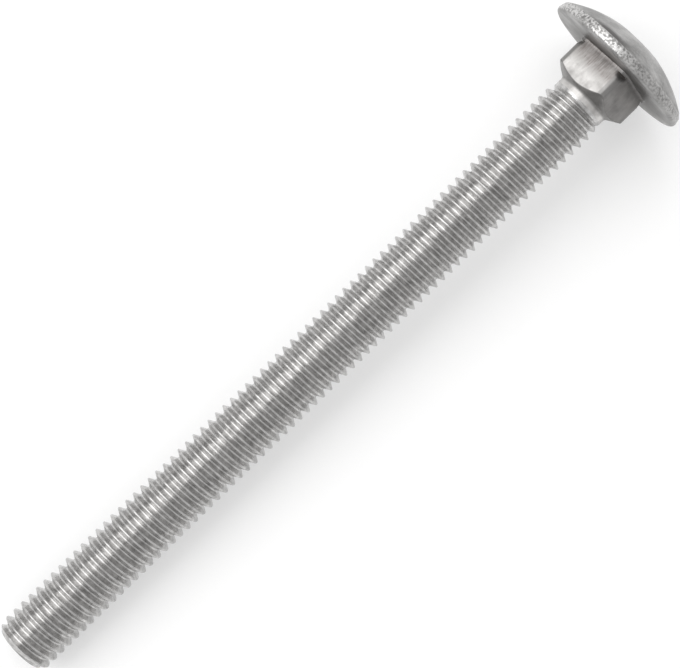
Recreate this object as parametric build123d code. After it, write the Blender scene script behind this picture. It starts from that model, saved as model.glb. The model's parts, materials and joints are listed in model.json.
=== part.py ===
from build123d import *
import math
import os

# Carriage bolt, M8 x 1.25 x 100: one piece of stainless steel, cold headed with a low domed
# head over a square neck, then thread rolled to the neck. It is drawn standing on its tip,
# with the flat under the head at height 0, and is laid down as it comes to rest at the end.
# The thread is drawn as the smooth cylinder that touches its crests.

# Head
head_radius = 9.83
head_height = 4.4
rim_height = 1.22
rim_bottom_round = 0.5
rim_top_round = 0.3

# Square neck, with the corners cut back in a small step close under the head
neck_width = 8.05
neck_corner_round = 0.65
neck_length = 5.0
neck_cone_half_angle = 58.0
neck_fillet = 0.45
neck_turn = 13.7
step_top = 0.42
step_bottom = 1.15
step_depth = 0.4

# Plain stretch of the rolling blank, between the neck and the thread
blank_radius = 3.525
blank_length = 1.1
thread_rise = 1.2

# Thread, over its crests
length_under_head = 98.96
thread_radius = 3.9
tip_chamfer = 0.75

# How far joined bodies run into each other, and cutters past what they cut
overlap = 0.3

# What follows from these
dome_rise = head_height - rim_height
dome_radius = (head_radius**2 + dome_rise**2) / (2 * dome_rise)
half_diagonal = (neck_width / 2 - neck_corner_round) * math.sqrt(2) + neck_corner_round
blank_end = -neck_length - blank_length
thread_full = blank_end - thread_rise
tip = -length_under_head


def turned(profile):
    """A solid of revolution about the bolt's own axis."""
    return revolve(profile.sketch, axis=Axis.Z, revolution_arc=360)


def corner_at(profile, radius, height):
    """The vertex of a turned profile at this radius and height."""
    return profile.vertices().sort_by_distance((radius, 0, height))[0]


def make_head():
    """Flat underneath, a short straight rim with both edges rounded, and the dome."""
    with BuildSketch(Plane.XZ) as profile:
        with BuildLine():
            Polyline((0, head_height), (0, 0), (head_radius, 0), (head_radius, rim_height))
            RadiusArc((head_radius, rim_height), (0, head_height), -dome_radius)
        make_face()
        fillet(corner_at(profile, head_radius, 0), rim_bottom_round)
        fillet(corner_at(profile, head_radius, rim_height), rim_top_round)
    return turned(profile)


def make_neck():
    """A square bar with rounded corners, turned down to the blank by a cone and a fillet."""
    foot = -neck_length - neck_fillet
    cone_top_radius = half_diagonal + overlap
    cone_height = (cone_top_radius - blank_radius) / math.tan(math.radians(neck_cone_half_angle))
    with BuildSketch(Plane.XY.offset(foot)) as section:
        RectangleRounded(neck_width, neck_width, neck_corner_round, rotation=45 + neck_turn)
    bar = extrude(section.sketch, amount=overlap - foot)
    with BuildSketch(Plane.XZ) as envelope:
        with BuildLine():
            Polyline(
                (0, overlap),
                (0, foot),
                (blank_radius, foot),
                (blank_radius, -neck_length),
                (cone_top_radius, cone_height - neck_length),
                (cone_top_radius, overlap),
                close=True,
            )
        make_face()
        fillet(corner_at(envelope, blank_radius, -neck_length), neck_fillet)
    with BuildSketch(Plane.XZ) as step:
        with BuildLine():
            Polyline(
                (half_diagonal - step_depth, -step_top),
                (half_diagonal, -step_bottom),
                (cone_top_radius, -step_bottom),
                (cone_top_radius, -step_top),
                close=True,
            )
        make_face()
    return (bar & turned(envelope)) - turned(step)


def make_shank():
    """The plain blank, its rise to the thread's crests, and the chamfered tip."""
    with BuildSketch(Plane.XZ) as profile:
        with BuildLine():
            Polyline(
                (0, overlap),
                (blank_radius, overlap),
                (blank_radius, blank_end),
                (thread_radius, thread_full),
                (thread_radius, tip + tip_chamfer),
                (thread_radius - tip_chamfer, tip),
                (0, tip),
                close=True,
            )
        make_face()
    return turned(profile)


def rest_tilt():
    """Angle of the axis when the rim's lower edge and the thread's tip touch the ground."""
    along = rim_bottom_round - (tip + tip_chamfer)
    out = head_radius - rim_bottom_round - thread_radius
    return math.degrees(math.atan2(out, along) + math.asin(rim_bottom_round / math.hypot(along, out)))


# Lying down: the axis points along +X towards the head, and rises with the rest tilt
bolt = Rot(0, 90 - rest_tilt(), 0) * (make_shank() + make_neck() + make_head())
box = bolt.bounding_box()
bolt = Pos(-box.center().X, -box.center().Y, -box.min.Z) * bolt

os.makedirs("parts", exist_ok=True)
export_step(bolt, "parts/bolt.step")
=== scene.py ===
import json
import math

import bmesh
import bpy
from mathutils import Matrix, Vector, noise


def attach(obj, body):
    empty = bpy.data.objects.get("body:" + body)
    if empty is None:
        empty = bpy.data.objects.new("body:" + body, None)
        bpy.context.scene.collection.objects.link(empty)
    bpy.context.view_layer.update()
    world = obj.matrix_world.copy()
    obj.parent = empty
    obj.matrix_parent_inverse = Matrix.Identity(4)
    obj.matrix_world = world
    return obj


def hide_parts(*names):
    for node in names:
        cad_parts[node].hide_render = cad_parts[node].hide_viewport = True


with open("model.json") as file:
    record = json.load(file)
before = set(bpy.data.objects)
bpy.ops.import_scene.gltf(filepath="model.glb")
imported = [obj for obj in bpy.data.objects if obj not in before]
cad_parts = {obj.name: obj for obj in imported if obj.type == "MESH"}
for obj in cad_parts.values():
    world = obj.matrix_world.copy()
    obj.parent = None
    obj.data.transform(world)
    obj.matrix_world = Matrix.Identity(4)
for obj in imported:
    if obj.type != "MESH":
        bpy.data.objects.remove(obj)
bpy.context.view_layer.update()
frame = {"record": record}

# ---------------------------------------------------------------------------
# The bolt as a whole: one piece of A2 stainless wire, cold headed and thread rolled.
# It is drawn about its own axis, from the flat under the head at height 0 to the tip below,
# in millimetres, with angle 0 straight up from the ground, and is laid in the frame's place.
# Left is the +Y side, and right the -Y side, as seen from above with the head upwards.
mounts = {m["name"]: m for m in frame["record"]["mounts"]}
seat_point = Vector(mounts["head_seat"]["pos_m"])
to_head = -Vector(mounts["head_seat"]["axis"]).normalized()
sideways = Vector((0, -1, 0))
upward = sideways.cross(to_head).normalized()
seat_centre = Vector((seat_point.x, 0, seat_point.z))
MM = 0.001

points = []
faces = []


def place(radius, angle, height):
    """Adds a point of the bolt, given about its own axis, and returns its number."""
    out = upward * math.cos(angle) + sideways * math.sin(angle)
    points.append(seat_centre + (to_head * height + out * radius) * MM)
    return len(points) - 1


def skin(lower, upper):
    """Faces between two rings of as many points, the second one nearer the head."""
    count = len(lower)
    for i in range(count):
        j = (i + 1) % count
        faces.append((lower[i], lower[j], upper[j], upper[i]))


# ---------------------------------------------------------------------------
# Threaded shank: M8 coarse thread, right hand, rolled between flat dies, so that crests and
# roots are rounded and the metal between the dies is a little uneven. The tip is chamfered
# before rolling, and at the head end the groove fades out on the plain blank.
PITCH = 1.25
CREST_RADIUS = 3.9
BLANK_RADIUS = 3.525
LENGTH = 98.96
TIP_CHAMFER = 0.75
# Distance from a crest's middle along the bolt, and depth below the crest
TOOTH = [(0, 0), (0.055, 0.004), (0.10, 0.035), (0.16, 0.139), (0.47, 0.676), (0.54, 0.735), (0.625, 0.75)]
CREST_AT_TOP = -98.35
AROUND_SHANK = 80
AROUND_HEAD = 2 * AROUND_SHANK
THREAD_TOP = -5.8
CRESTS_FADE = (-7.5, -6.0)
ROOTS_FADE = (-6.6, -5.9)
TIP_EDGE = 0.08
UNEVENNESS = 0.012


def smooth(low, high, value):
    """0 below low, 1 above high, and an even rise between."""
    t = min(1, max(0, (value - low) / (high - low)))
    return t * t * (3 - 2 * t)


def between(x, table):
    """Straight-line reading of a table of (x, y) in rising x."""
    for (x0, y0), (x1, y1) in zip(table, table[1:]):
        if x <= x1:
            return y0 + (y1 - y0) * (x - x0) / (x1 - x0)
    return table[-1][1]


def thread_radius(angle, height):
    """Radius of the rolled thread: teeth, chamfer at the tip, and run-out at the head end."""
    from_crest = (height - CREST_AT_TOP - PITCH * angle / math.tau) % PITCH
    depth = between(min(from_crest, PITCH - from_crest), TOOTH)
    radius = CREST_RADIUS - depth
    if radius > BLANK_RADIUS:
        raised = 1 - smooth(*CRESTS_FADE, height)
        radius = BLANK_RADIUS + (radius - BLANK_RADIUS) * raised
    else:
        sunk = 1 - smooth(*ROOTS_FADE, height)
        radius = BLANK_RADIUS + (radius - BLANK_RADIUS) * sunk
    chamfer = CREST_RADIUS - TIP_CHAMFER + height + LENGTH
    uneven = noise.noise(Vector((angle * 2.2, height * 1.6, 0)))
    uneven += 0.5 * noise.noise(Vector((math.cos(angle) * 9, math.sin(angle) * 9, height * 2.5)))
    fade = smooth(-LENGTH, -LENGTH + 1, height) * (1 - smooth(-7, -6, height))
    return min(radius, chamfer) - UNEVENNESS * fade * abs(uneven)


tooth_rows = [x for x, _ in TOOTH] + [PITCH - x for x, _ in reversed(TOOTH[1:-1])]
per_turn = len(tooth_rows)
turns = math.ceil((LENGTH + THREAD_TOP) / PITCH) + 4
start = CREST_AT_TOP - 3 * PITCH
low, high = -LENGTH + TIP_EDGE, THREAD_TOP
grid = []
for row in range(turns * per_turn):
    along = start + (row // per_turn) * PITCH + tooth_rows[row % per_turn]
    line = []
    for i in range(AROUND_SHANK):
        angle = math.tau * i / AROUND_SHANK
        height = min(high, max(low, along + PITCH * i / AROUND_SHANK))
        line.append(place(thread_radius(angle, height), angle, height))
    grid.append(line)
for row in range(len(grid) - per_turn - 1):
    for i in range(AROUND_SHANK - 1):
        faces.append((grid[row][i], grid[row][i + 1], grid[row + 1][i + 1], grid[row + 1][i]))
    seam = AROUND_SHANK - 1
    turned = row + per_turn
    faces.append((grid[row][seam], grid[turned][0], grid[turned + 1][0], grid[row + 1][seam]))
shank_foot = grid[0]
shank_top = grid[-1]

# The cut end of the wire: a rounded edge and a slightly dished face
end_rings = [(3.19, 0.03), (3.10, 0), (2.6, 0.01), (1.5, 0.07)]
above = shank_foot
for radius, rise in end_rings:
    ring = [place(radius, math.tau * i / AROUND_SHANK, -LENGTH + rise) for i in range(AROUND_SHANK)]
    skin(ring, above)
    above = ring
end_centre = place(0, 0, -LENGTH + 0.1)
for i in range(AROUND_SHANK):
    faces.append((end_centre, above[(i + 1) % AROUND_SHANK], above[i]))


def linear(hex_colour):
    """An sRGB hex colour as the linear values that the shaders take."""
    parts = [int(hex_colour[i:i + 2], 16) / 255 for i in (1, 3, 5)]
    return tuple(((c + 0.055) / 1.055) ** 2.4 if c > 0.04045 else c / 12.92 for c in parts) + (1,)


def add_node(tree, kind, links={}, values={}, **settings):
    """Adds a node with these settings and input values, and what feeds its other inputs."""
    node = tree.nodes.new(kind)
    for name, setting in settings.items():
        setattr(node, name, setting)
    for name, value in values.items():
        node.inputs[name].default_value = value
    for name, source in links.items():
        tree.links.new(source, node.inputs[name])
    return node


# A2 stainless steel as thread rolled: burnished by the dies, so it has a soft shine, with fine
# lines that run round the shank. Patterns read bolt_mm: across, up and along, in millimetres.
# The real lines are 0.05 mm apart, too fine to show, and are drawn 0.2 mm apart.
rolled = bpy.data.materials.new("thread_rolled_stainless_steel")
rolled.use_nodes = True
tree = rolled.node_tree
shader = tree.nodes["Principled BSDF"]
shader.inputs["Metallic"].default_value = 1
seat = add_node(tree, "ShaderNodeAttribute", attribute_name="bolt_mm")
drawn_out = add_node(
    tree,
    "ShaderNodeVectorMath",
    {0: seat.outputs["Vector"]},
    {1: (1 / 1.5, 1 / 1.5, 1 / 0.2)},
    operation="MULTIPLY",
)
lines = add_node(
    tree,
    "ShaderNodeTexNoise",
    {"Vector": drawn_out.outputs[0]},
    {"Scale": 1, "Detail": 3},
)
clouds = add_node(
    tree,
    "ShaderNodeTexNoise",
    {"Vector": seat.outputs["Vector"]},
    {"Scale": 1 / 0.7, "Detail": 3},
)
tone = add_node(
    tree,
    "ShaderNodeMath",
    {0: lines.outputs["Fac"], 2: clouds.outputs["Fac"]},
    {1: 0.5},
    operation="MULTIPLY_ADD",
)
tone_share = add_node(
    tree,
    "ShaderNodeMapRange",
    {"Value": tone.outputs[0]},
    {"From Min": 0.5, "From Max": 1.0},
)
steel = add_node(
    tree,
    "ShaderNodeMix",
    {"Factor": tone_share.outputs["Result"]},
    {"A": linear("#a09f9e"), "B": linear("#d1d0cf")},
    data_type="RGBA",
)
tree.links.new(steel.outputs["Result"], shader.inputs["Base Color"])
gloss = add_node(
    tree,
    "ShaderNodeMapRange",
    {"Value": lines.outputs["Fac"]},
    {"From Min": 0.3, "From Max": 0.7, "To Min": 0.32, "To Max": 0.2},
)
tree.links.new(gloss.outputs["Result"], shader.inputs["Roughness"])
grain = add_node(
    tree,
    "ShaderNodeBump",
    {"Height": lines.outputs["Fac"]},
    {"Strength": 0.35, "Distance": 0.00002},
)
tree.links.new(grain.outputs["Normal"], shader.inputs["Normal"])

# ---------------------------------------------------------------------------
# Square neck: struck in a square die below the head, so that its flats are smooth at the foot
# and dragged near the head, its corners are rounded, and they are cut back in a small step
# where the metal didn't fill the die. A cone and a fillet bring it down to the blank.
NECK_HALF = 4.03
NECK_CORNER = 0.8
NECK_TURN = math.radians(13.7)
CONE = math.radians(58)
CONE_FOOT = -5.0
FILLET = 0.45
STEP_RADIUS = 5.0
STEP_FOOT_RADIUS = 5.43
STEP_TOP = -0.42
STEP_FOOT = -1.15


def square_radius(angle):
    """Distance from the axis to the rounded square, in this direction."""
    turned = (angle - NECK_TURN) % (math.pi / 2)
    off_face = abs(turned - math.pi / 4)
    flat = NECK_HALF - NECK_CORNER
    if NECK_HALF * math.tan(off_face) <= flat:
        return NECK_HALF / math.cos(off_face)
    reach = flat * (math.cos(off_face) + math.sin(off_face))
    return reach + math.sqrt(reach**2 - 2 * flat**2 + NECK_CORNER**2)


angles = [math.tau * i / AROUND_HEAD for i in range(AROUND_HEAD)]
squares = [square_radius(a) for a in angles]
edges = [CONE_FOOT + (s - BLANK_RADIUS) / math.tan(CONE) for s in squares]


def head_ring(radii, heights):
    """A ring of the neck or head, from one radius and height for each direction."""
    return [place(r, a, h) for r, a, h in zip(radii, angles, heights)]


neck_from = len(faces)
neck_rings = [head_ring([BLANK_RADIUS] * AROUND_HEAD, [-5.55] * AROUND_HEAD)]
tangent = FILLET * math.tan(CONE / 2)
for step in range(7):
    bend = CONE * step / 6
    radius = BLANK_RADIUS + FILLET * (1 - math.cos(bend))
    height = CONE_FOOT - tangent + FILLET * math.sin(bend)
    neck_rings.append(head_ring([radius] * AROUND_HEAD, [height] * AROUND_HEAD))
for share in (0.3, 0.6, 0.85):
    radii = [radius + (s - 0.07 - radius) * share for s in squares]
    heights = [CONE_FOOT + (r - BLANK_RADIUS) / math.tan(CONE) for r in radii]
    neck_rings.append(head_ring(radii, heights))
for inset, rise in ((0.07, -0.07 / math.tan(CONE)), (0.028, 0.002), (0.006, 0.06), (0, 0.14)):
    neck_rings.append(head_ring([s - inset for s in squares], [e + rise for e in edges]))
for share in (0.15, 0.3, 0.5, 0.7, 0.85, 1):
    heights = [e + 0.14 + (STEP_FOOT - e - 0.14) * share for e in edges]
    neck_rings.append(head_ring(squares, heights))
for share in (0.5, 1):
    floor_radius = STEP_FOOT_RADIUS + (STEP_RADIUS - STEP_FOOT_RADIUS) * share
    height = STEP_FOOT + (STEP_TOP - STEP_FOOT) * share
    neck_rings.append(head_ring([min(s, floor_radius) for s in squares], [height] * AROUND_HEAD))
neck_rings.append(head_ring(squares, [STEP_TOP] * AROUND_HEAD))
for out, height in ((0, -0.16), (0.03, -0.05), (0.13, 0)):
    neck_rings.append(head_ring([s + out for s in squares], [height] * AROUND_HEAD))

# The shank's ring has half as many points, so each of its sides meets two of the neck's
for i in range(AROUND_SHANK):
    j = (i + 1) % AROUND_SHANK
    left, middle, right = (neck_rings[0][k % AROUND_HEAD] for k in (2 * i, 2 * i + 1, 2 * i + 2))
    faces.append((shank_top[i], middle, left))
    faces.append((shank_top[i], shank_top[j], middle))
    faces.append((shank_top[j], right, middle))
for lower, upper in zip(neck_rings, neck_rings[1:]):
    skin(lower, upper)

# The same steel as struck in the die: bright and nearly smooth at the foot of a flat, and
# towards the head dragged by the die, with scratches along the bolt that carry a painted brown
# reflection of the head's underside. The flat on the right is painted shade, and the corners
# and the cone are painted darker than the rest.
struck = bpy.data.materials.new("die_struck_stainless_steel")
struck.use_nodes = True
tree = struck.node_tree
shader = tree.nodes["Principled BSDF"]
shader.inputs["Metallic"].default_value = 1
seat = add_node(tree, "ShaderNodeAttribute", attribute_name="bolt_mm")
along = add_node(tree, "ShaderNodeSeparateXYZ", {"Vector": seat.outputs["Vector"]})
scraped = add_node(
    tree,
    "ShaderNodeVectorMath",
    {0: seat.outputs["Vector"]},
    {1: (1 / 0.2, 1 / 0.2, 1 / 1.6)},
    operation="MULTIPLY",
)
scratches = add_node(
    tree,
    "ShaderNodeTexNoise",
    {"Vector": scraped.outputs[0]},
    {"Scale": 1, "Detail": 2},
)
clouds = add_node(
    tree,
    "ShaderNodeTexNoise",
    {"Vector": seat.outputs["Vector"]},
    {"Scale": 1 / 1.3, "Detail": 4},
)
clean_share = add_node(
    tree,
    "ShaderNodeMapRange",
    {"Value": clouds.outputs["Fac"]},
    {"From Min": 0.3, "From Max": 0.75},
)
clean = add_node(
    tree,
    "ShaderNodeMix",
    {"Factor": clean_share.outputs["Result"]},
    {"A": linear("#a19f9d"), "B": linear("#d2d0ce")},
    data_type="RGBA",
)
# Painted reflection of the head's underside: a brown tone that grows towards the head and shows in the
# scratches
reach = add_node(
    tree,
    "ShaderNodeMath",
    {0: clouds.outputs["Fac"], 2: along.outputs["Z"]},
    {1: 3.0},
    operation="MULTIPLY_ADD",
)
painted_reflection_share = add_node(
    tree,
    "ShaderNodeMapRange",
    {"Value": reach.outputs[0]},
    {"From Min": -1.5, "From Max": -0.1},
)
painted_reflection_marks = add_node(
    tree,
    "ShaderNodeMath",
    {0: painted_reflection_share.outputs["Result"], 1: scratches.outputs["Fac"]},
    operation="MULTIPLY",
)
underside_reflected = add_node(
    tree,
    "ShaderNodeMix",
    {"Factor": painted_reflection_marks.outputs[0], "A": clean.outputs["Result"]},
    {"B": linear("#4d413d")},
    data_type="RGBA",
)
# Painted shade on the flat on the right: a darker mottled grey that stands in for the shade on that side
to_right = add_node(
    tree,
    "ShaderNodeVectorMath",
    {0: seat.outputs["Vector"]},
    {1: (math.cos(math.pi / 4 - NECK_TURN), math.sin(math.pi / 4 - NECK_TURN), 0)},
    operation="DOT_PRODUCT",
)
right_flat_shade_share = add_node(
    tree,
    "ShaderNodeMapRange",
    {"Value": to_right.outputs["Value"]},
    {"From Min": 3.92, "From Max": 4.02, "To Max": 0.85},
)
right_flat_painted_shade = add_node(
    tree,
    "ShaderNodeMix",
    {"Factor": clouds.outputs["Fac"]},
    {"A": linear("#4d4c4b"), "B": linear("#7d7b79")},
    data_type="RGBA",
)
flats = add_node(
    tree,
    "ShaderNodeMix",
    {"Factor": right_flat_shade_share.outputs["Result"], "A": underside_reflected.outputs["Result"], "B": right_flat_painted_shade.outputs["Result"]},
    data_type="RGBA",
)
flat_out = add_node(
    tree,
    "ShaderNodeVectorMath",
    {0: seat.outputs["Vector"]},
    {1: (1, 1, 0)},
    operation="MULTIPLY",
)
from_axis = add_node(tree, "ShaderNodeVectorMath", {0: flat_out.outputs[0]}, operation="LENGTH")
on_corner = add_node(
    tree,
    "ShaderNodeMapRange",
    {"Value": from_axis.outputs["Value"]},
    {"From Min": 5.08, "From Max": 5.16, "To Max": 0.8},
)
corners = add_node(
    tree,
    "ShaderNodeMix",
    {"Factor": on_corner.outputs["Result"], "A": flats.outputs["Result"]},
    {"B": linear("#7d7c7b")},
    data_type="RGBA",
)
cone_height = add_node(
    tree,
    "ShaderNodeMath",
    {0: from_axis.outputs["Value"]},
    {1: 1 / math.tan(CONE), 2: CONE_FOOT - BLANK_RADIUS / math.tan(CONE)},
    operation="MULTIPLY_ADD",
)
over_cone = add_node(
    tree,
    "ShaderNodeMath",
    {0: along.outputs["Z"], 1: cone_height.outputs[0]},
    operation="SUBTRACT",
)
on_cone = add_node(
    tree,
    "ShaderNodeMapRange",
    {"Value": over_cone.outputs[0]},
    {"From Min": 0.09, "From Max": 0.03, "To Max": 0.75},
)
over_blank = add_node(
    tree,
    "ShaderNodeMapRange",
    {"Value": along.outputs["Z"]},
    {"From Min": CONE_FOOT - 0.3, "From Max": CONE_FOOT - 0.05},
)
cone_share = add_node(
    tree,
    "ShaderNodeMath",
    {0: on_cone.outputs["Result"], 1: over_blank.outputs["Result"]},
    operation="MULTIPLY",
)
coned = add_node(
    tree,
    "ShaderNodeMix",
    {"Factor": cone_share.outputs[0], "A": corners.outputs["Result"]},
    {"B": linear("#6f6e6d")},
    data_type="RGBA",
)
tree.links.new(coned.outputs["Result"], shader.inputs["Base Color"])
gloss = add_node(
    tree,
    "ShaderNodeMapRange",
    {"Value": scratches.outputs["Fac"]},
    {"From Min": 0.3, "From Max": 0.7, "To Min": 0.44, "To Max": 0.3},
)
tree.links.new(gloss.outputs["Result"], shader.inputs["Roughness"])
grain = add_node(
    tree,
    "ShaderNodeBump",
    {"Height": scratches.outputs["Fac"]},
    {"Strength": 0.5, "Distance": 0.00003},
)
tree.links.new(grain.outputs["Normal"], shader.inputs["Normal"])

# ---------------------------------------------------------------------------
# Mushroom head: upset in an open die, so that it is flat below, rough round the rim where the
# metal ran free, and smoother on the dome, with the round mark of the punch near its middle.
HEAD_RADIUS = 9.83
HEAD_HEIGHT = 4.4
RIM_HEIGHT = 1.22
RIM_BOTTOM_ROUND = 0.5
RIM_ROUGHNESS = 0.07
RIM_LEAN = 0.25
CREASE_HEIGHT = 1.4
DOME_RISE = HEAD_HEIGHT - RIM_HEIGHT
DOME_RADIUS = (HEAD_RADIUS**2 + DOME_RISE**2) / (2 * DOME_RISE)
DOME_CENTRE = HEAD_HEIGHT - DOME_RADIUS
DOME_RINGS = 60
PUNCH_RADIUS = 3.85
PUNCH_DEPTH = 0.1
PUNCH_OFFSET = (-0.35, 0.2)
CRACK_DEPTH = 0.16
WALL_FOOT = 0.55


def rim_wear(angle, height):
    """How far the rim's rough wall falls short of its full radius."""
    around = Vector((math.cos(angle) * 20, math.sin(angle) * 20, height * 4))
    return RIM_ROUGHNESS * abs(noise.noise(around))


def dome_mark(radius, angle):
    """Change of height on the dome: the punch's round mark and the crack at its edge."""
    across = radius * math.sin(angle) - PUNCH_OFFSET[0]
    up = radius * math.cos(angle) - PUNCH_OFFSET[1]
    from_mark = math.hypot(across, up)
    sunk = -PUNCH_DEPTH * (1 - smooth(PUNCH_RADIUS - 0.3, PUNCH_RADIUS, from_mark))
    facing = smooth(0.2, 0.9, -across / max(from_mark, 0.1))
    crack = -CRACK_DEPTH * facing * (1 - smooth(0, 0.2, abs(from_mark - PUNCH_RADIUS - 0.15)))
    dents = 0.02 * noise.noise(Vector((across * 0.9, up * 0.9, 3)))
    return sunk + crack + dents


head_from = len(faces)
head_rings = [neck_rings[-1]]
for radius in (6.2, 6.9, 7.6, 8.3, 8.9, 9.33):
    head_rings.append(head_ring([radius] * AROUND_HEAD, [0] * AROUND_HEAD))
for step in range(1, 7):
    bend = math.pi / 2 * step / 6
    height = RIM_BOTTOM_ROUND * (1 - math.cos(bend))
    radius = HEAD_RADIUS - RIM_BOTTOM_ROUND * (1 - math.sin(bend))
    radii = [radius - rim_wear(a, height) * step / 6 for a in angles]
    head_rings.append(head_ring(radii, [height] * AROUND_HEAD))
for height in (0.6, 0.75, 0.9, 1.05, 1.2):
    wall = HEAD_RADIUS - RIM_LEAN * (height - WALL_FOOT)
    head_rings.append(head_ring([wall - rim_wear(a, height) for a in angles], [height] * AROUND_HEAD))
# The edge above the wall is crisp on the left and worn round on the right
wears = [0.5 + 0.5 * math.sin(a + 0.5) for a in angles]
wall = HEAD_RADIUS - RIM_LEAN * (CREASE_HEIGHT - WALL_FOOT)
for crisp, worn, drop, worn_drop in ((0, 0.07, 0.02, 0.1), (0.07, 0.16, -0.02, 0.03)):
    radii = [wall - crisp - (worn - crisp) * w - 0.5 * rim_wear(a, 1.35) for w, a in zip(wears, angles)]
    head_rings.append(head_ring(radii, [CREASE_HEIGHT - drop - (worn_drop - drop) * w for w in wears]))
for step in range(DOME_RINGS):
    radius = (HEAD_RADIUS - 0.55) * (1 - step / DOME_RINGS)
    height = DOME_CENTRE + math.sqrt(DOME_RADIUS**2 - radius**2)
    heights = [height + dome_mark(radius, a) * smooth(9.6, 8.6, radius) for a in angles]
    head_rings.append(head_ring([radius] * AROUND_HEAD, heights))
apex = place(0, 0, HEAD_HEIGHT + dome_mark(0, 0))
for lower, upper in zip(head_rings, head_rings[1:]):
    skin(lower, upper)
for i in range(AROUND_HEAD):
    faces.append((head_rings[-1][i], head_rings[-1][(i + 1) % AROUND_HEAD], apex))

# The same steel as cold headed: matt, clouded by the lubricant and finely pitted, most in one
# half of the punch's mark, with painted shade on the underside round the neck and a darker
# patch above the rim. The rim's wall is coarser and brighter, with painted light that makes
# it brightest on the left.
headed = bpy.data.materials.new("cold_headed_stainless_steel")
headed.use_nodes = True
tree = headed.node_tree
shader = tree.nodes["Principled BSDF"]
shader.inputs["Metallic"].default_value = 1
seat = add_node(tree, "ShaderNodeAttribute", attribute_name="bolt_mm")
along = add_node(tree, "ShaderNodeSeparateXYZ", {"Vector": seat.outputs["Vector"]})
clouds = add_node(
    tree,
    "ShaderNodeTexNoise",
    {"Vector": seat.outputs["Vector"]},
    {"Scale": 1 / 3.2, "Detail": 5},
)
pits = add_node(
    tree,
    "ShaderNodeTexNoise",
    {"Vector": seat.outputs["Vector"]},
    {"Scale": 1 / 0.3, "Detail": 2},
)
tone = add_node(
    tree,
    "ShaderNodeMath",
    {0: pits.outputs["Fac"], 2: clouds.outputs["Fac"]},
    {1: 0.35},
    operation="MULTIPLY_ADD",
)
tone_share = add_node(
    tree,
    "ShaderNodeMapRange",
    {"Value": tone.outputs[0]},
    {"From Min": 0.5, "From Max": 0.86},
)
steel = add_node(
    tree,
    "ShaderNodeMix",
    {"Factor": tone_share.outputs["Result"]},
    {"A": linear("#838281"), "B": linear("#b4b3b2")},
    data_type="RGBA",
)
from_mark = add_node(
    tree,
    "ShaderNodeVectorMath",
    {0: seat.outputs["Vector"]},
    {1: (*PUNCH_OFFSET, 0)},
    operation="SUBTRACT",
)
mark_plan = add_node(
    tree,
    "ShaderNodeVectorMath",
    {0: from_mark.outputs[0]},
    {1: (1, 1, 0)},
    operation="MULTIPLY",
)
mark_reach = add_node(tree, "ShaderNodeVectorMath", {0: mark_plan.outputs[0]}, operation="LENGTH")
in_mark = add_node(
    tree,
    "ShaderNodeMapRange",
    {"Value": mark_reach.outputs["Value"]},
    {"From Min": PUNCH_RADIUS, "From Max": PUNCH_RADIUS - 1.2},
)
upper_half = add_node(
    tree,
    "ShaderNodeMapRange",
    {"Value": along.outputs["Y"]},
    {"From Min": -0.7, "From Max": 1.6},
)
in_upper = add_node(
    tree,
    "ShaderNodeMath",
    {0: in_mark.outputs["Result"], 1: upper_half.outputs["Result"]},
    operation="MULTIPLY",
)
pitted = add_node(
    tree,
    "ShaderNodeMapRange",
    {"Value": pits.outputs["Fac"]},
    {"From Min": 0.35, "From Max": 0.65, "To Min": 0.85, "To Max": 0.35},
)
mark_share = add_node(
    tree,
    "ShaderNodeMath",
    {0: in_upper.outputs[0], 1: pitted.outputs["Result"]},
    operation="MULTIPLY",
)
marked = add_node(
    tree,
    "ShaderNodeMix",
    {"Factor": mark_share.outputs[0], "A": steel.outputs["Result"]},
    {"B": linear("#4f4e4d")},
    data_type="RGBA",
)
flat_out = add_node(
    tree,
    "ShaderNodeVectorMath",
    {0: seat.outputs["Vector"]},
    {1: (1, 1, 0)},
    operation="MULTIPLY",
)
from_axis = add_node(tree, "ShaderNodeVectorMath", {0: flat_out.outputs[0]}, operation="LENGTH")
# Painted shade: the underside of the head is painted darker round the neck, where its shade falls
under = add_node(
    tree,
    "ShaderNodeMapRange",
    {"Value": along.outputs["Z"]},
    {"From Min": 0.25, "From Max": 0.05},
)
near_neck = add_node(
    tree,
    "ShaderNodeMapRange",
    {"Value": from_axis.outputs["Value"]},
    {"From Min": 8.8, "From Max": 5.6, "To Max": 0.8},
)
underside_painted_shade_share = add_node(
    tree,
    "ShaderNodeMath",
    {0: under.outputs["Result"], 1: near_neck.outputs["Result"]},
    operation="MULTIPLY",
)
underside_painted_shade = add_node(
    tree,
    "ShaderNodeMix",
    {"Factor": underside_painted_shade_share.outputs[0], "A": marked.outputs["Result"]},
    {"B": linear("#5f5d5b")},
    data_type="RGBA",
)
# A darker patch on the dome just above the rim's left part
from_dark_patch = add_node(
    tree,
    "ShaderNodeVectorMath",
    {0: seat.outputs["Vector"]},
    {1: (-3.2, 8.5, 1.6)},
    operation="SUBTRACT",
)
dark_patch_shape = add_node(
    tree,
    "ShaderNodeVectorMath",
    {0: from_dark_patch.outputs[0]},
    {1: (1 / 3.4, 1 / 2.0, 1 / 0.55)},
    operation="MULTIPLY",
)
dark_patch_reach = add_node(
    tree,
    "ShaderNodeVectorMath",
    {0: dark_patch_shape.outputs[0]},
    operation="LENGTH",
)
dark_patch_share = add_node(
    tree,
    "ShaderNodeMapRange",
    {"Value": dark_patch_reach.outputs["Value"]},
    {"From Min": 1.1, "From Max": 0.4, "To Max": 0.85},
)
dark_patched = add_node(
    tree,
    "ShaderNodeMix",
    {"Factor": dark_patch_share.outputs["Result"], "A": underside_painted_shade.outputs["Result"]},
    {"B": linear("#4a4847")},
    data_type="RGBA",
)
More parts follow.
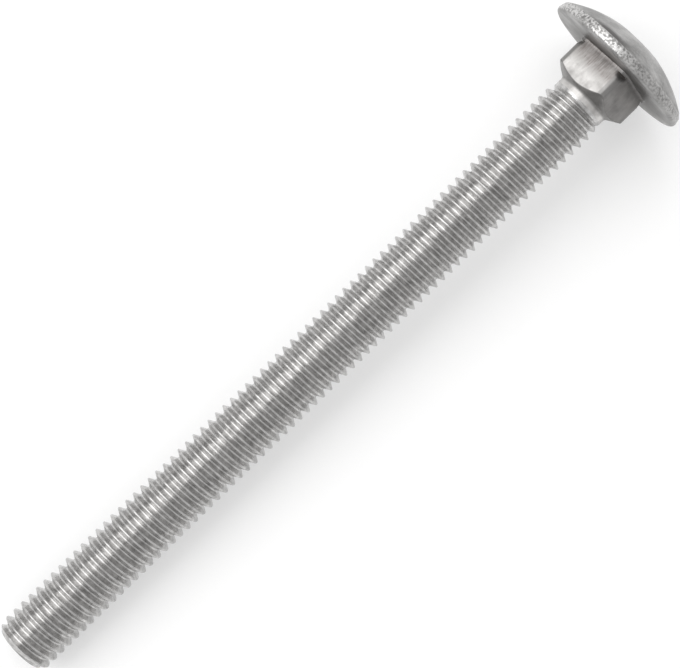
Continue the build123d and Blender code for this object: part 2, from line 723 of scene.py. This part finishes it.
below_crease = add_node(
    tree,
    "ShaderNodeMapRange",
    {"Value": along.outputs["Z"]},
    {"From Min": CREASE_HEIGHT + 0.03, "From Max": CREASE_HEIGHT - 0.05},
)
over_seat = add_node(
    tree,
    "ShaderNodeMapRange",
    {"Value": along.outputs["Z"]},
    {"From Min": 0.15, "From Max": 0.35},
)
on_wall = add_node(
    tree,
    "ShaderNodeMath",
    {0: below_crease.outputs["Result"], 1: over_seat.outputs["Result"]},
    operation="MULTIPLY",
)
speckle = add_node(
    tree,
    "ShaderNodeMapRange",
    {"Value": pits.outputs["Fac"]},
    {"From Min": 0.38, "From Max": 0.58},
)
wall_steel = add_node(
    tree,
    "ShaderNodeMix",
    {"Factor": speckle.outputs["Result"]},
    {"A": linear("#838281"), "B": linear("#cbcac9")},
    data_type="RGBA",
)
# Painted light: the wall's bright speckled steel is full on the left, towards the soft box, and fades to a
# share of 0.4 on the right; the same share also makes the wall smoother
left_painted_light_share = add_node(
    tree,
    "ShaderNodeMapRange",
    {"Value": along.outputs["X"]},
    {"From Min": 2.5, "From Max": -1.5, "To Min": 0.4},
)
wall_wear_and_painted_light = add_node(
    tree,
    "ShaderNodeMath",
    {0: on_wall.outputs[0], 1: left_painted_light_share.outputs["Result"]},
    operation="MULTIPLY",
)
walled = add_node(
    tree,
    "ShaderNodeMix",
    {"Factor": wall_wear_and_painted_light.outputs[0], "A": dark_patched.outputs["Result"], "B": wall_steel.outputs["Result"]},
    data_type="RGBA",
)
tree.links.new(walled.outputs["Result"], shader.inputs["Base Color"])
gloss = add_node(
    tree,
    "ShaderNodeMapRange",
    {"Value": wall_wear_and_painted_light.outputs[0]},
    {"To Min": 0.44, "To Max": 0.3},
)
tree.links.new(gloss.outputs["Result"], shader.inputs["Roughness"])
coarse = add_node(
    tree,
    "ShaderNodeMapRange",
    {"Value": on_wall.outputs[0]},
    {"To Min": 0.35, "To Max": 0.7},
)
grain = add_node(
    tree,
    "ShaderNodeBump",
    {"Height": pits.outputs["Fac"], "Strength": coarse.outputs["Result"]},
    {"Distance": 0.00006},
)
tree.links.new(grain.outputs["Normal"], shader.inputs["Normal"])

# The three parts of the skin become one closed mesh, with points that fell together joined
mesh = bpy.data.meshes.new("bolt_skin")
mesh.from_pydata(points, [], faces)
mesh.materials.append(rolled)
mesh.materials.append(struck)
mesh.materials.append(headed)
for face in mesh.polygons:
    face.material_index = int(face.index >= neck_from) + int(face.index >= head_from)
work = bmesh.new()
work.from_mesh(mesh)
bmesh.ops.remove_doubles(work, verts=work.verts, dist=2e-7)
loose = [v for v in work.verts if not v.link_faces]
bmesh.ops.delete(work, geom=loose, context="VERTS")
bmesh.ops.recalc_face_normals(work, faces=work.faces)
work.to_mesh(mesh)
work.free()
mesh.shade_smooth()
mesh.set_sharp_from_angle(angle=math.radians(38))
where = mesh.attributes.new("bolt_mm", "FLOAT_VECTOR", "POINT")
for vertex, value in zip(mesh.vertices, where.data):
    arm = (vertex.co - seat_centre) / MM
    value.vector = (arm.dot(sideways), arm.dot(upward), arm.dot(to_head))
bolt = bpy.data.objects.new("carriage_bolt", mesh)
bpy.context.scene.collection.objects.link(bolt)
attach(bolt, "root")
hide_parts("bolt")

# ---------------------------------------------------------------------------
# Studio: a pale floor under an even sky, with one large soft box above the bolt's left side.
# The floor glows a little to rays that look at it, so that it shows white, and still takes
# the bolt's shadow.
bpy.ops.mesh.primitive_plane_add(size=3, location=(0, 0, -0.00002))
ground = bpy.context.object
ground.name = "floor"
white = bpy.data.materials.new("white_floor")
white.use_nodes = True
tree = white.node_tree
paper = tree.nodes["Principled BSDF"]
paper.inputs["Base Color"].default_value = linear("#dadada")
paper.inputs["Roughness"].default_value = 0.9
paper.inputs["Specular IOR Level"].default_value = 0
rays = add_node(tree, "ShaderNodeLightPath")
looked_at = add_node(
    tree,
    "ShaderNodeMath",
    {0: rays.outputs["Is Camera Ray"], 1: rays.outputs["Is Glossy Ray"]},
    operation="MAXIMUM",
)
seen = add_node(
    tree,
    "ShaderNodeMath",
    {0: looked_at.outputs[0], 1: rays.outputs["Is Transmission Ray"]},
    operation="MAXIMUM",
)
strength = add_node(tree, "ShaderNodeMath", {0: seen.outputs[0]}, {1: 0.3}, operation="MULTIPLY")
glow = add_node(tree, "ShaderNodeEmission", {"Strength": strength.outputs[0]})
both = add_node(tree, "ShaderNodeAddShader", {0: paper.outputs[0], 1: glow.outputs[0]})
tree.links.new(both.outputs[0], tree.nodes["Material Output"].inputs["Surface"])
ground.data.materials.append(white)

world = bpy.data.worlds.new("studio_sky")
bpy.context.scene.world = world
world.use_nodes = True
world.node_tree.nodes["Background"].inputs["Color"].default_value = (1, 1, 1, 1)
world.node_tree.nodes["Background"].inputs["Strength"].default_value = 0.78

box = bpy.data.lights.new("soft_box", "AREA")
box.shape = "RECTANGLE"
box.size = 0.9
box.size_y = 0.5
box.energy = 2.2
lamp = bpy.data.objects.new("soft_box", box)
bpy.context.scene.collection.objects.link(lamp)
lamp.location = (0, 0.34, 0.42)
lamp.rotation_euler = (Vector((0, 0, 0.005)) - lamp.location).to_track_quat("-Z", "Y").to_euler()
lamp.visible_camera = False

# The camera looks down on the lying bolt, almost square to it, with the head at the upper right
LOOK_FROM_SEAT = -45.2
LOOK_ASIDE = 0.20
DISTANCE = 288.2
LEAN = math.radians(1.9)
ROLL = math.radians(44.325)
target = seat_centre + to_head * LOOK_FROM_SEAT * MM - sideways * LOOK_ASIDE * MM
toward_camera = (upward * math.cos(LEAN) + to_head * math.sin(LEAN)).normalized()
along_view = (to_head - toward_camera * to_head.dot(toward_camera)).normalized()
right = along_view * math.cos(ROLL) + sideways * math.sin(ROLL)
top = along_view * math.sin(ROLL) - sideways * math.cos(ROLL)
camera_data = bpy.data.cameras.new("camera")
camera_data.lens = 128.1
camera_data.sensor_width = 36
camera = bpy.data.objects.new("camera", camera_data)
bpy.context.scene.collection.objects.link(camera)
turn = Matrix((right, top, toward_camera)).transposed().to_4x4()
camera.matrix_world = Matrix.Translation(target + toward_camera * DISTANCE * MM) @ turn
bpy.context.scene.camera = camera

bpy.context.scene.view_settings.view_transform = "Standard"
